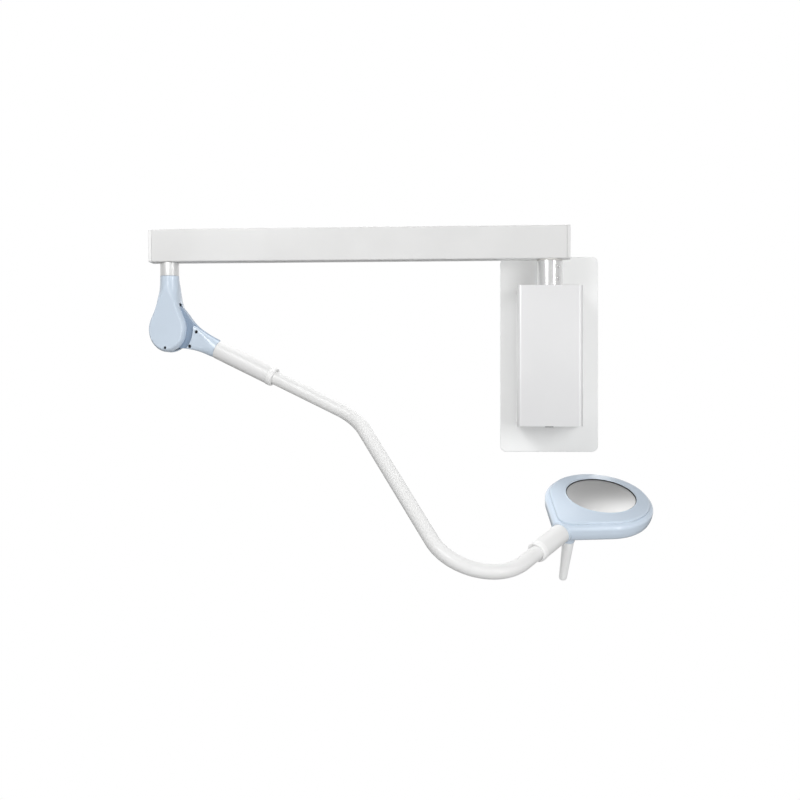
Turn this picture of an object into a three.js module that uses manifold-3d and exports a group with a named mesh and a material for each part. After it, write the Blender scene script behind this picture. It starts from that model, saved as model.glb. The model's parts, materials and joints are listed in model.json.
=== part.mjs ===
// Wall mounted surgical light: wall box, swinging beam, knuckle, pitching arm,
// curved tube and a drop shaped LED head. Millimetres, +Z up, +Y into the wall.
// The origin is the centre of the wall plate's back face.
import * as THREE from 'three';
import { mergeVertices } from 'three/addons/utils/BufferGeometryUtils.js';
import Module from 'manifold-3d';

const wasm = await Module();
wasm.setup();

// ---------- driving dimensions ----------
const GAP = 0.3;                                   // clearance between neighbours
const PLATE = { w: 200, h: 400, t: 6, r: 13 };
const BOX = { half: 65, front: -120, z0: -146, z1: 134, wall: 2.5, r: 9 };
const SHAFT_Y = -84;                               // vertical arm axis in front of the wall
const SHAFT_R = 19;                                // both vertical spindles
const PIVOT_TUBE = { ro: 26, ri: 22.5, z0: -22, z1: 184.5 };
const BEAM = { x0: -813.2, x1: 40.8, z0: 187.5, z1: 254.7, half: 22, wall: 2.5, cap: 6.5 };
const COLLAR_TOP = 187.1;                          // shoulder of both spindles under the beam
const KNUCKLE_X = -774;                            // second vertical axis
const PIVOT_Z = 50.7;                              // pitch axis height
const SWING = 11.0;                                // knuckle turned out of the beam line
const PITCH = 25.0;                                // arm below horizontal
const LIFT = 7.3;                                  // arm's roll axis above the pitch axis
const DROP = { rx: 42, rz: 46.7, neck: 19.3, top: 109, front: 20, back: 25, edge: 8.5, wall: 2.3 };
const CHEEK = { in: 8.6, out: 13.6 };
const PIN_R = 7;
const TONGUE = 7;                                  // half thickness of the arm tongue
const SLEEVE = { ro: 18.8, ri: 16.6, x0: 114.3, x1: 238, cap: 19.5 };
const TUBE = { ro: 14, ri: 12, x0: 146, l1: 399.9, b1: -38.99, r1: 114.4,
  l2: 315.7, b2: 116.77, r2: 99.6, l3: 90.5, roll: -60.35, twist: 1.3 };
const HEAD = { roll: 77.02, neckAngle: -5.18, reach: 173.2, lift: 30,
  r: 96.3, tip: 24.9, a: 107.8, off: -4.4, dish: 67.4, under: -40.5 };
const HANDLE = { x: -107, r0: 11.2, r1: 7.7, z0: -57, z1: -142.5 };
const BUTTON_X = -84.5;

// ---------- materials ----------
const mat = (color, roughness, metalness = 0, opacity = 1) => new THREE.MeshStandardMaterial({
  color, roughness, metalness, opacity, transparent: opacity < 1 });
const M = {
  white: mat(0xf0f0ee, 0.35), plate: mat(0xe4e8e6, 0.5), alu: mat(0xdedfe0, 0.4, 0.3),
  satin: mat(0xb9bbbd, 0.35, 0.9), steel: mat(0x8d9094, 0.4, 0.9), blue: mat(0xbcd0e8, 0.25),
  dark: mat(0x2b2d30, 0.5, 0.6), rubber: mat(0x3a3b3d, 0.9), bronze: mat(0xb08d57, 0.5, 0.7),
  plastic: mat(0xd8d6cf, 0.6), board: mat(0xf2f3ee, 0.5), clear: mat(0xf4f8fb, 0.08, 0, 0.35),
  silver: mat(0xc2c3c4, 0.35, 0.8), button: mat(0x8fb0d6, 0.4), handle: mat(0xe2e3e1, 0.45),
};

// ---------- solid helpers ----------
const rad = THREE.MathUtils.degToRad;
const V = (x, y, z) => new THREE.Vector3(x, y, z);

function solid(geometry) {
  const g = geometry.clone();
  for (const key of Object.keys(g.attributes)) if (key !== 'position') g.deleteAttribute(key);
  const m = mergeVertices(g, 1e-4), p = m.attributes.position.array, src = m.index.array;
  const idx = [];
  let volume = 0;
  const a = V(), b = V(), c = V();
  for (let i = 0; i < src.length; i += 3) {
    const [i0, i1, i2] = [src[i], src[i + 1], src[i + 2]];
    if (i0 === i1 || i1 === i2 || i0 === i2) continue;
    idx.push(i0, i1, i2);
    volume += a.fromArray(p, 3 * i0).dot(b.fromArray(p, 3 * i1).cross(c.fromArray(p, 3 * i2)));
  }
  if (volume < 0) for (let i = 0; i < idx.length; i += 3) [idx[i], idx[i + 1]] = [idx[i + 1], idx[i]];
  return new wasm.Manifold(new wasm.Mesh({ numProp: 3,
    vertProperties: new Float32Array(p), triVerts: new Uint32Array(idx) }));
}
const move = (s, x, y, z) => s.translate([x, y, z]);
const minus = (s, ...cuts) => cuts.reduce((acc, cut) => acc.subtract(cut), s);
const join = (s, ...more) => more.reduce((acc, one) => acc.add(one), s);

const block = (x0, x1, y0, y1, z0, z1) => move(solid(new THREE.BoxGeometry(x1 - x0, y1 - y0, z1 - z0)),
  (x0 + x1) / 2, (y0 + y1) / 2, (z0 + z1) / 2);
function rod(r, a, b, axis = 'z', n = 24) {          // full cylinder from a to b along an axis
  const g = new THREE.CylinderGeometry(r, r, b - a, n);
  if (axis === 'z') g.rotateX(Math.PI / 2);
  if (axis === 'x') g.rotateZ(Math.PI / 2);
  const mid = (a + b) / 2;
  return move(solid(g), axis === 'x' ? mid : 0, axis === 'y' ? mid : 0, axis === 'z' ? mid : 0);
}
const ring = (ri, ro, a, b, axis = 'z', n = 24) => rod(ro, a, b, axis, n)
  .subtract(rod(ri, a - 1, b + 1, axis, n));
function turned(points, axis = 'z', n = 24) {        // [radius, height] profile, closed round the axis
  const pts = points.map(([r, h]) => new THREE.Vector2(r, h));
  if (points[0][0] > 0) pts.push(pts[0].clone());
  const g = new THREE.LatheGeometry(pts, n);
  if (axis === 'z') g.rotateX(Math.PI / 2);
  if (axis === 'x') g.rotateZ(-Math.PI / 2);
  return solid(g);
}
function roundedRect(w, h, r, seg = 4) {
  const pts = [];
  for (const [sx, sy, q] of [[1, 1, 0], [-1, 1, 1], [-1, -1, 2], [1, -1, 3]]) {
    for (let i = 0; i <= seg; i++) {
      const t = (q + i / seg) * Math.PI / 2;
      pts.push(new THREE.Vector2(sx * (w / 2 - r) + r * Math.cos(t), sy * (h / 2 - r) + r * Math.sin(t)));
    }
  }
  return new THREE.Shape(pts);
}
const prism = (shape, depth, extra = {}) => solid(new THREE.ExtrudeGeometry(shape,
  { depth, bevelEnabled: false, ...extra }));
function loft(rings) {                               // rings of equal point count, star shaped ends
  const n = rings[0].length, pos = [], idx = [];
  rings.forEach(r => r.forEach(p => pos.push(p.x, p.y, p.z)));
  for (let k = 0; k + 1 < rings.length; k++) for (let i = 0; i < n; i++) {
    const a = k * n + i, b = k * n + (i + 1) % n;
    idx.push(a, b, b + n, a, b + n, a + n);
  }
  for (const [k, flip] of [[0, true], [rings.length - 1, false]]) {
    const c = rings[k].reduce((acc, p) => acc.add(p), V()).divideScalar(n), at = pos.length / 3;
    pos.push(c.x, c.y, c.z);
    for (let i = 0; i < n; i++) {
      const a = k * n + i, b = k * n + (i + 1) % n;
      idx.push(...(flip ? [b, a, at] : [a, b, at]));
    }
  }
  const g = new THREE.BufferGeometry();
  g.setAttribute('position', new THREE.Float32BufferAttribute(pos, 3));
  g.setIndex(idx);
  return solid(g);
}
function sweep(path, radius, n) {                    // round bar along a 3-D polyline
  const rings = [], frame = V();
  path.forEach((p, i) => {
    const next = path[Math.min(i + 1, path.length - 1)];
    const t = next.clone().sub(path[Math.max(i - 1, 0)]).normalize();
    if (i === 0) frame.copy(Math.abs(t.z) < 0.9 ? V(0, 0, 1) : V(0, 1, 0));
    frame.sub(t.clone().multiplyScalar(frame.dot(t))).normalize();
    const side = t.clone().cross(frame);
    rings.push([...Array(n).keys()].map(k => {
      const a = 2 * Math.PI * k / n, [c, s] = [radius * Math.cos(a), radius * Math.sin(a)];
      return p.clone().addScaledVector(frame, c).addScaledVector(side, s);
    }));
  });
  return loft(rings);
}

// ---------- frames of the moving groups ----------
const basis = (x, y, z, o) => new THREE.Matrix4().makeBasis(x, y, z).setPosition(o);
const pivot = V(KNUCKLE_X, SHAFT_Y, PIVOT_Z);
const flat = V(Math.cos(rad(SWING)), -Math.sin(rad(SWING)), 0);
const back = V(Math.sin(rad(SWING)), Math.cos(rad(SWING)), 0);
const KNUCKLE = basis(flat, back, V(0, 0, 1), pivot);
const along = flat.clone().applyAxisAngle(back, rad(PITCH));
const armZ = along.clone().cross(back);
const armAt = pivot.clone().addScaledVector(armZ, LIFT);
const ARM = basis(along, back, armZ, armAt);
const WORLD = new THREE.Matrix4();

const part = new THREE.Group();
part.name = 'surgical_light';
function add(name, s, material, frame = WORLD) {
  const mesh = s.getMesh(), g = new THREE.BufferGeometry();
  g.setAttribute('position', new THREE.Float32BufferAttribute(Float32Array.from(mesh.vertProperties), 3));
  g.setIndex([...mesh.triVerts]);
  g.applyMatrix4(frame);
  g.computeVertexNormals();
  const node = new THREE.Mesh(g, material);
  node.name = name;
  part.add(node);
}

// ---------- wall bracket and its box ----------
const atShaft = s => move(s, 0, SHAFT_Y, 0);
const intoWall = s => s.rotate([90, 0, 0]);          // extrusions made along Z, laid along -Y
const fixings = [[-52, 112], [52, 112], [-52, -122], [52, -122]];
add('wall_plate', minus(intoWall(prism(roundedRect(PLATE.w, PLATE.h, PLATE.r), PLATE.t)),
  ...fixings.map(([x, z]) => move(rod(3.5, -10, 2, 'y', 16), x, 0, z))), M.plate);

const shelf = z => minus(block(-36, 36, -114, -10, z, z + 10),
  atShaft(rod(PIVOT_TUBE.ro + GAP, z - 1, z + 11)));
const gusset = x => block(x - 2.5, x + 2.5, -50, -10, -19, 119);
add('pivot_bracket', join(block(-40, 40, -11.3, -6.3, -40, 128),
  shelf(-20), shelf(118), gusset(-33.5), gusset(33.5)), M.steel);

const SCREW_ANGLE = -90 + 38.6;                      // brake screws look out past the box corner
const radial = (s, z) => move(s.rotate([0, 0, SCREW_ANGLE]), 0, SHAFT_Y, z);
const brakeZ = [171.7, 148.5];
const { ri: pivotRi, ro: pivotRo, z0: pivotZ0, z1: pivotZ1 } = PIVOT_TUBE;
add('pivot_tube', minus(atShaft(ring(pivotRi, pivotRo, pivotZ0, pivotZ1, 'z', 32)),
  ...brakeZ.map(z => radial(rod(3.3, 20, 30, 'x', 16), z))), M.white);
brakeZ.forEach((z, i) => add(['brake_screw_upper', 'brake_screw_lower'][i],
  radial(minus(rod(3, 22.5, 27.4, 'x', 16), rod(1.6, 25.4, 29, 'x', 6)), z), M.satin));
const bush = (z0, z1) => atShaft(ring(SHAFT_R + GAP, 22.2, z0, z1));
add('brake_bush', minus(bush(136, 184), atShaft(block(-30, -10, -1.5, 1.5, 130, 190))), M.bronze);
add('lower_bush', bush(-21, 10), M.bronze);
add('thrust_washer', atShaft(ring(SHAFT_R + 0.6, 25.5, PIVOT_TUBE.z1 + GAP, BEAM.z0 - GAP)), M.plastic);

const boxDepth = -6.3 - BOX.front;
const boxProfile = inset => roundedRect(2 * (BOX.half - inset), 2 * (boxDepth - inset), BOX.r - inset, 6);
const boxSolid = (inset, z0, z1) => move(prism(boxProfile(inset), z1 - z0), 0, -6.3, z0)
  .intersect(block(-80, 80, -130, -6.3, z0, z1));
const coverZ = [125, -137];
const coverScrewAt = s => coverZ.flatMap(z => [-1, 1].map(k => move(s(k), k * BOX.half, -30, z)));
add('cover_shell', minus(boxSolid(0, BOX.z0, BOX.z1), boxSolid(BOX.wall, BOX.z0 - 1, BOX.z1 + 1),
  ...coverScrewAt(() => rod(1.7, -9, 9, 'x', 12))), M.alu);
function lid(z0, z1, lip) {                          // folded end plate of the box
  const inner = BOX.half - BOX.wall - GAP, y1 = -8;
  const plate = boxSolid(BOX.wall + GAP, z0, z1).intersect(block(-80, 80, -130, y1, z0, z1));
  const sides = [-1, 1].map(k => block(Math.min(k * inner, k * (inner - 2.5)),
    Math.max(k * inner, k * (inner - 2.5)), -60, y1, Math.min(lip, z0), Math.max(lip, z1)));
  return minus(join(plate, ...sides), ...coverScrewAt(() => rod(1.7, -9, 9, 'x', 12)));
}
add('cover_top', minus(lid(BOX.z1 - 2.8, BOX.z1, 119), atShaft(rod(26.5, 110, 140, 'z', 32))), M.alu);
const atCable = s => move(s, 0, -30, 0);
add('cover_bottom', minus(lid(BOX.z0, BOX.z0 + 2.8, -131), atCable(rod(7.3, -150, -140))), M.alu);
add('cable_grommet', atCable(turned([[3.5, -149], [9, -149], [9, -146.3], [7, -146.3], [7, -142.9],
  [9, -142.9], [9, -140.6], [3.5, -140.6]], 'z', 24)), M.rubber);
coverScrewAt(k => join(rod(1.4, Math.min(0, -8 * k), Math.max(0, -8 * k), 'x', 12),
  rod(3, Math.min(GAP * k, 2.1 * k), Math.max(GAP * k, 2.1 * k), 'x', 16),
  rod(1.4, Math.min(0, k), Math.max(0, k), 'x', 12)))
  .forEach((s, i) => add(`cover_screw_${i + 1}`, s, M.satin));
add('power_supply', minus(join(block(-45, 45, -50, -6.6, -138, -46), block(-28, 28, -32, -6.6, -46.5, -41)),
  ...[-20, -10, 0, 10, 20].map(x => block(x - 3, x + 3, -34, -20, -43, -40))), M.dark);

// ---------- swinging beam ----------
const beamMid = (BEAM.z0 + BEAM.z1) / 2, beamH = BEAM.z1 - BEAM.z0;
const alongX = (shape, x0, x1) => move(prism(shape, x1 - x0).rotate([90, 0, 90]), x0, SHAFT_Y, beamMid);
const section = (inset, r) => roundedRect(2 * (BEAM.half - inset), beamH - 2 * inset, r, 3);
const atKnuckle = s => move(s, KNUCKLE_X, SHAFT_Y, 0);
const tubeX0 = BEAM.x0 + BEAM.cap + GAP, tubeX1 = BEAM.x1 - BEAM.cap - GAP;
add('beam_tube', minus(alongX(section(0, 3), tubeX0, tubeX1),
  alongX(section(BEAM.wall, 1), tubeX0 - 1, tubeX1 + 1),
  atShaft(rod(15.6, 180, 200)), atKnuckle(rod(13.6, 180, 200))), M.white);
const plug = BEAM.wall + GAP;
add('beam_cap_wall', join(alongX(section(0, 3), tubeX1 + GAP, BEAM.x1),
  alongX(section(plug, 1), tubeX1 - 5, tubeX1 + GAP)), M.white);
add('beam_cap_knuckle', join(alongX(section(0, 3), BEAM.x0, tubeX0 - GAP),
  alongX(section(plug, 1), tubeX0 - GAP, tubeX0 + 3)), M.white);

const SPINDLE_TOP = 15;                              // wall spindle inside the beam
add('beam_spindle', atShaft(minus(join(rod(SHAFT_R, -28, COLLAR_TOP, 'z', 32), rod(SPINDLE_TOP, 184, 240)),
  rod(8, -40, 300, 'z', 20), ring(17, 30, -24.6, -22))), M.steel);
add('spindle_circlip', atShaft(ring(17.3, 24, -24.3, -22.3)), M.steel);
const beamInner = [BEAM.z0 + plug + 0.3, BEAM.z1 - plug - 0.3];
const cableSlot = (x0, x1) => block(x0, x1, -6, 6, 241, 260);
add('spindle_block', atShaft(minus(block(-29, 29, -18.9, 18.9, ...beamInner),
  rod(SPINDLE_TOP + GAP, 180, 260), cableSlot(-40, 0))), M.satin);
add('knuckle_block', atKnuckle(minus(block(-29, 29, -18.9, 18.9, ...beamInner),
  rod(16.5, 180, 260), cableSlot(0, 40))), M.satin);

// ---------- knuckle ----------
const bushR = { spindle: 13, ri: 13.3, ro: 16.2, bore: 16.5 };
const dropOutline = (() => {                         // half outline by a cubic flare, then mirrored
  const a = rad(28), { rx, rz } = DROP, start = V(rx * Math.cos(a), rz * Math.sin(a), 0);
  const slope = V(-rx * Math.sin(a), rz * Math.cos(a), 0).normalize();
  const flare = new THREE.CubicBezierCurve3(start, start.clone().addScaledVector(slope, 30),
    V(DROP.neck, 62, 0), V(DROP.neck, DROP.top, 0)).getPoints(6);
  const right = [...Array(11).keys()].map(i => {
    const t = -Math.PI / 2 + i * (Math.PI / 2 + a) / 10;
    return V(rx * Math.cos(t), rz * Math.sin(t), 0);
  }).concat(flare.slice(1), V(DROP.neck, DROP.top + 20, 0));
  const left = right.slice(1).reverse().map(q => V(-q.x, q.y, 0));
  return [...right, ...left].map(q => new THREE.Vector2(q.x, q.y));
})();
const NECK_FRONT = [[0, -60], [62, -60], [62, 30], [44, 42], [30, 58], [22, 78], [19.5, 100],
  [19.3, 130], [0, 130]];
const NECK_BACK = [[0, -60], [66, -60], [66, 30], [48, 42], [35, 58], [27, 78], [21.5, 100], [19.8, 112],
  [19.8, 130], [0, 130]];
function dropSolid(inset, half, profile) {           // round-edged drop, its neck turned about the spindle
  const edge = DROP.edge, depth = 2 * (half - inset - edge);
  const slab = prism(new THREE.Shape(dropOutline), depth, { bevelEnabled: true, bevelThickness: edge,
    bevelSize: edge, bevelOffset: -edge - inset, bevelSegments: 2, curveSegments: 1 });
  const neck = turned(profile.map(([r, h]) => [Math.max(0, r - inset), h]), 'z', 24);
  return move(slab, 0, 0, -depth / 2).rotate([90, 0, 0]).intersect(neck)
    .intersect(block(-90, 90, -40, 40, -60, DROP.top));
}
const flatShape = pts => new THREE.Shape(pts.map(([x, z]) => new THREE.Vector2(x, z)));
const xzPrism = (pts, y0, y1) => move(prism(flatShape(pts), y1 - y0).rotate([90, 0, 0]), 0, y1, 0);
const armSlot = xzPrism([[0, 0], [-24, -80], [110, -80], [110, 62], [5, 62], [5, 30]], -7.6, 7.6);
const dropWall = (half, profile) => minus(dropSolid(0, half, profile), dropSolid(DROP.wall, half, profile),
  rod(17.2, 100, 120), armSlot);
const DROP_SCREW = { x: -1, z: -37.8, head: 2.6, deep: 1.2 };
const atScrew = s => move(s, DROP_SCREW.x, 0, DROP_SCREW.z);
const span = (r, a, b, n) => rod(r, Math.min(a, b), Math.max(a, b), 'y', n);
const dropScrew = (k, face) => atScrew(join(
  span(DROP_SCREW.head, (face - DROP_SCREW.deep) * k, (face + 0.2) * k, 20),
  span(1.4, 9 * k, (face - 1) * k, 12)));
const dropScrewHole = atScrew(join(rod(2.9, -40, -DROP.front + 1.4, 'y', 20),
  rod(2.9, DROP.back - 1.4, 40, 'y', 20), rod(1.7, -30, 30, 'y', 12)));
add('drop_cover_front', minus(dropWall(DROP.front, NECK_FRONT), dropScrewHole)
  .intersect(block(-90, 90, -40, -GAP / 2, -60, 120)), M.blue, KNUCKLE);
add('drop_cover_back', minus(dropWall(DROP.back, NECK_BACK), dropScrewHole)
  .intersect(block(-90, 90, GAP / 2, 40, -60, 120)), M.blue, KNUCKLE);
add('drop_screw_front', dropScrew(-1, DROP.front), M.dark, KNUCKLE);
add('drop_screw_back', dropScrew(1, DROP.back), M.dark, KNUCKLE);

const cheekOutline = [...[...Array(25).keys()].map(i => {
  const t = rad(-205 + i * 230 / 24);
  return [36.8 * Math.cos(t), 40.8 * Math.sin(t)];
}), [21.5, 40], [14, 60], [9.5, 80], [-9.5, 80], [-14, 60], [-21.5, 40]];
add('knuckle_yoke', minus(join(xzPrism(cheekOutline, -CHEEK.out, -CHEEK.in),
  xzPrism(cheekOutline, CHEEK.in, CHEEK.out), rod(16.7, 62, DROP.top - GAP)),
rod(bushR.ri, 60, 120), rod(PIN_R + GAP, -30, 30, 'y'), dropScrewHole), M.satin, KNUCKLE);
add('pitch_pin', join(rod(PIN_R, -14.5, 15.9, 'y'), rod(9.5, -15.9, -13.9, 'y')), M.steel, KNUCKLE);
add('pin_nut', minus(rod(11.5, 13.9, 15.9, 'y', 6), rod(PIN_R + GAP, 0, 30, 'y')), M.steel, KNUCKLE);
add('friction_washer_front', ring(PIN_R + GAP, 26, -8.3, -7.3, 'y'), M.bronze, KNUCKLE);
add('friction_washer_back', ring(PIN_R + GAP, 26, 7.3, 8.3, 'y'), M.bronze, KNUCKLE);

const spindleBottom = PIVOT_Z + 67, collar = PIVOT_Z + DROP.top + GAP;
add('knuckle_spindle', atKnuckle(minus(join(rod(bushR.spindle, spindleBottom, 242),
  rod(SHAFT_R, collar, COLLAR_TOP, 'z', 32)), rod(6, 0, 300, 'z', 20),
  ring(11, 30, 237.2, 239.8))), M.satin);
add('knuckle_circlip', atKnuckle(ring(11.3, 16.1, 237.5, 239.5)), M.steel);
add('knuckle_bush', atKnuckle(ring(bushR.ri, bushR.ro, 190.8, 237)), M.bronze);
const cableBend = [[0, 225], [0, 240], [3, 245], [10, 247.3]];
const cablePath = [...cableBend.map(([x, z]) => V(-x, SHAFT_Y, z)),
  ...cableBend.map(([x, z]) => V(KNUCKLE_X + x, SHAFT_Y, z)).reverse()];
add('beam_cable', sweep(cablePath, 3, 10), M.rubber);

// ---------- pitching arm ----------
const hubArc = [...Array(20).keys()].map(i => {
  const t = rad(99 + i * 211 / 19);
  return [38 * Math.cos(t), 38 * Math.sin(t) - LIFT];
});
const tongue = [...hubArc, [38, -32], [49, -27.6], [60, -24.2], [72, -21], [86, -19.2], [98, -18.5],
  [112, -18.2], [112, 18.2], [98, 18.6], [80, 19.6], [65, 21.6], [49, 26], [36, 31.8], [26, 37.2],
  [19, 40.6], [11, 44], [3, 46], [-6, 46.2]];  // the last four are the blade that closes the knuckle's slot
const coneScrews = [[61.5, 14.6], [60.5, -17.8]];
const screwHole = (r, y0, y1) => coneScrews.map(([x, z]) => move(rod(r, y0, y1, 'y', 16), x, 0, z));
add('arm_hub', minus(join(xzPrism(tongue, -TONGUE, TONGUE), rod(SLEEVE.ri - GAP, 104, 140, 'x')),
  move(rod(PIN_R + GAP, -30, 30, 'y'), 0, 0, -LIFT), ...screwHole(1.8, -9, 9)), M.blue, ARM);

const coneSections = [[48, 23.5, -27.5, 12.8, 7], [60, 22.6, -24.6, 13.2, 6], [72, 20.8, -21.6, 14.4, 5],
  [86, 19.4, -19.6, 16.2, 3.4], [100, 18.9, -18.9, 17.9, 2.4], [114, SLEEVE.ro, -SLEEVE.ro, SLEEVE.ro, 2]];
const bulge = (v, e) => Math.sign(v) * Math.abs(v) ** (2 / e);
const coneBody = minus(loft(coneSections.map(([x, top, low, w, e]) => [...Array(36).keys()].map(i => {
  const t = 2 * Math.PI * i / 36;
  return V(x, w * bulge(Math.cos(t), e), (top + low) / 2 + (top - low) / 2 * bulge(Math.sin(t), e));
}))), move(rod(57.5, -40, 40, 'y', 64), 0, 0, -LIFT), rod(SLEEVE.ri, 103.7, 120, 'x'));
add('cone_cover_front', minus(coneBody.intersect(block(0, 200, -40, -TONGUE - GAP, -60, 60)),
  ...screwHole(3.5, -30, -11.2), ...screwHole(1.8, -30, 9)), M.blue, ARM);
add('cone_cover_back', minus(coneBody.intersect(block(0, 200, TONGUE + GAP, 40, -60, 60)),
  ...screwHole(1.8, 0, 10.5)), M.blue, ARM);
coneScrews.forEach(([x, z], i) => add(['cone_screw_upper', 'cone_screw_lower'][i],
  move(minus(join(rod(3.2, -13.4, -11.5, 'y', 20), rod(1.5, -12, 10, 'y', 12)),
    rod(1.5, -15, -12.4, 'y', 6)), x, 0, z), M.dark, ARM));

add('arm_sleeve', ring(SLEEVE.ri, SLEEVE.ro, SLEEVE.x0, SLEEVE.x1, 'x', 32), M.white, ARM);
const endRing = (x, dir) => turned([[14.4, 0], [SLEEVE.cap, 0], [SLEEVE.cap, 9], [18.6, 11.1],
  [17, 11.7], [14.4, 11.7]].map(([r, h]) => [r, x + dir * h]), 'x', 32);
add('arm_sleeve_ring', endRing(SLEEVE.x1 + GAP, 1), M.white, ARM);
const tubeBush = (a, b) => ring(TUBE.ro + GAP, SLEEVE.ri - GAP, a, b, 'x');
add('roll_bush', tubeBush(190, 237), M.bronze, ARM);

// ---------- curved tube, rolling in the arm sleeve ----------
const inArm = v => v.clone().transformDirection(ARM);
const tubeNormal = inArm(V(0, -Math.cos(rad(TUBE.roll)), -Math.sin(rad(TUBE.roll))));
const tubeEnd = { dir: along.clone(), at: V(), normal: V() };
function tubePath(x0, extra) {
  const dir = along.clone(), at = armAt.clone().addScaledVector(dir, TUBE.l1), normal = tubeNormal.clone();
  const path = [armAt.clone().addScaledVector(dir, x0), at.clone()];
  const bend = (deg, r, steps) => {
    const centre = at.clone().addScaledVector(normal.clone().cross(dir), r * Math.sign(deg));
    const arm0 = at.clone().sub(centre);
    for (let i = 1; i <= steps; i++) {
      path.push(centre.clone().add(arm0.clone().applyAxisAngle(normal, rad(deg * i / steps))));
    }
    at.copy(path[path.length - 1]);
    dir.applyAxisAngle(normal, rad(deg));
  };
  bend(TUBE.b1, TUBE.r1, 5);
  at.addScaledVector(dir, TUBE.l2);
  path.push(at.clone());
  normal.applyAxisAngle(dir, rad(TUBE.twist));       // the second bend is turned a little out of the first
  bend(TUBE.b2, TUBE.r2, 13);
  at.addScaledVector(dir, TUBE.l3);
  tubeEnd.dir.copy(dir);
  tubeEnd.at.copy(at);
  tubeEnd.normal.copy(normal);
  path.push(at.clone().addScaledVector(dir, extra));
  return path;
}
add('curved_tube', sweep(tubePath(TUBE.x0, 10), TUBE.ro, 18)
  .subtract(sweep(tubePath(TUBE.x0 - 4, 14), TUBE.ri, 8)), M.white);
add('tube_cable', sweep(tubePath(TUBE.x0 + 2, 8), 3.5, 6), M.rubber);
add('tube_stop_ring', tubeBush(150, 153), M.steel, ARM);

// ---------- head, rolling on the tube's end ----------
const tilt = tubeEnd.normal.clone().applyAxisAngle(tubeEnd.dir, rad(HEAD.roll));
const headX = tubeEnd.dir.clone().applyAxisAngle(tilt, rad(HEAD.neckAngle));
const headZ = tilt.clone().cross(headX), headY = tilt.clone().negate();
const headAt = tubeEnd.at.clone().addScaledVector(headX, HEAD.reach).addScaledVector(headZ, HEAD.lift);
const HEADF = basis(headX, headY, headZ, headAt);
const NECK = basis(tubeEnd.dir, headY, tubeEnd.dir.clone().cross(headY), tubeEnd.at);
const neckInHead = HEADF.clone().invert().multiply(NECK);
const neck = s => s.transform(neckInHead.elements);

add('tube_end_clip', tubeBush(5, 7), M.steel, NECK);
add('head_sleeve', ring(SLEEVE.ri, SLEEVE.ro, -38, 33, 'x', 32), M.white, NECK);
add('head_sleeve_ring', endRing(-38.3, -1), M.white, NECK);
add('head_roll_bush', tubeBush(-37, -4), M.bronze, NECK);

function headRing(offset, z) {                       // hull of the big round end and the small tip
  const R = HEAD.r + offset, r = HEAD.tip + offset, t = Math.PI - Math.acos((HEAD.r - HEAD.tip) / HEAD.a);
  const pts = [];
  for (let i = 0; i <= 30; i++) {
    const a = -t + t * i / 15;
    pts.push(V(HEAD.off + R * Math.cos(a), R * Math.sin(a), z));
  }
  for (let i = 0; i <= 6; i++) {
    const a = t + (Math.PI - t) * i / 3;
    pts.push(V(HEAD.off - HEAD.a + r * Math.cos(a), r * Math.sin(a), z));
  }
  return pts;
}
const shell = rows => loft(rows.map(([z, o]) => headRing(o, z)));
const bowl = shell([[-40.5, -4], [-39.3, -0.2], [-35, 4.2], [-26, 7.2], [-14, 8.2], [-9.5, 5.4],
  [-6.9, 0.4]]);
const bowlInner = shell([[-38, -3], [-34.3, 1.4], [-25.5, 4.6], [-14, 5.4], [-5, -2.5]]);
const below = block(-400, 400, -400, 400, -200, -6.9);
const at = (s, x) => move(s, x, 0, 0);
const boss = at(rod(12, HANDLE.z0, -38.5, 'z', 28), HANDLE.x);
const sleeveBore = x0 => rod(SLEEVE.ro + GAP, x0, 33.3, 'x', 32);
add('head_housing', minus(join(minus(bowl, bowlInner, neck(sleeveBore(-80))),
  neck(rod(20.8, 30, 50, 'x', 32).subtract(sleeveBore(0))).intersect(below),
  neck(rod(SLEEVE.ri - GAP, 14, 40, 'x')), boss),
  rod(71, -60, -30, 'z', 36), at(rod(5, -50, -30, 'z', 20), BUTTON_X), neck(rod(5, 0, 80, 'x', 16)),
  at(rod(6.3, -72, -46, 'z', 20), HANDLE.x)), M.blue, HEADF);
const lidInner = shell([[-7.6, -3.4], [-3.8, -3.4]]).subtract(rod(71, -10, 0, 'z', 36));
add('head_cover', minus(shell([[-6.6, -0.7], [-4.4, -0.7], [-2.2, -3.2], [-0.8, -10]]), lidInner,
  rod(HEAD.dish + 0.4, -10, 5, 'z', 36)), M.blue, HEADF);
add('dish', turned([[0, -18.1], [30, -18.1], [30, -13.8], [44, -11.4], [57, -8.5], [64, -6], [67.4, -6],
  [67.4, -0.3], [66.8, -0.3], [66.2, -1.8], [58, -4.9], [45, -8.6], [25, -11.8], [0, -12.8]], 'z', 36),
M.silver, HEADF);
add('led_board', rod(60, -20, -18.4, 'z', 32), M.board, HEADF);
const dome = (x, y) => move(turned([[0, -28], [7, -26.4], [11, -22.5], [0, -22.5]], 'z', 10), x, y, 0);
add('lens_array', join(rod(62, -23.5, -20.3, 'z', 32), dome(0, 0), ...[...Array(6).keys()].map(i =>
  dome(38 * Math.cos(i * Math.PI / 3), 38 * Math.sin(i * Math.PI / 3)))), M.clear, HEADF);
const WINDOW = [[0, -40.4], [70.6, -40.4], [70.6, -37.7], [74, -37.7], [74, -35.7], [0, -35.7]];
add('light_window', turned(WINDOW, 'z', 36), M.clear, HEADF);
add('switch_button', at(turned([[0, -42.5], [4, -42.2], [4.7, -41.5], [4.7, -37.7], [6, -37.7],
  [6, -36.1], [0, -36.1]], 'z', 20), BUTTON_X), M.button, HEADF);
const { r0: gripTop, r1: gripLow, z0: gripZ0, z1: gripZ1 } = HANDLE;
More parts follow.
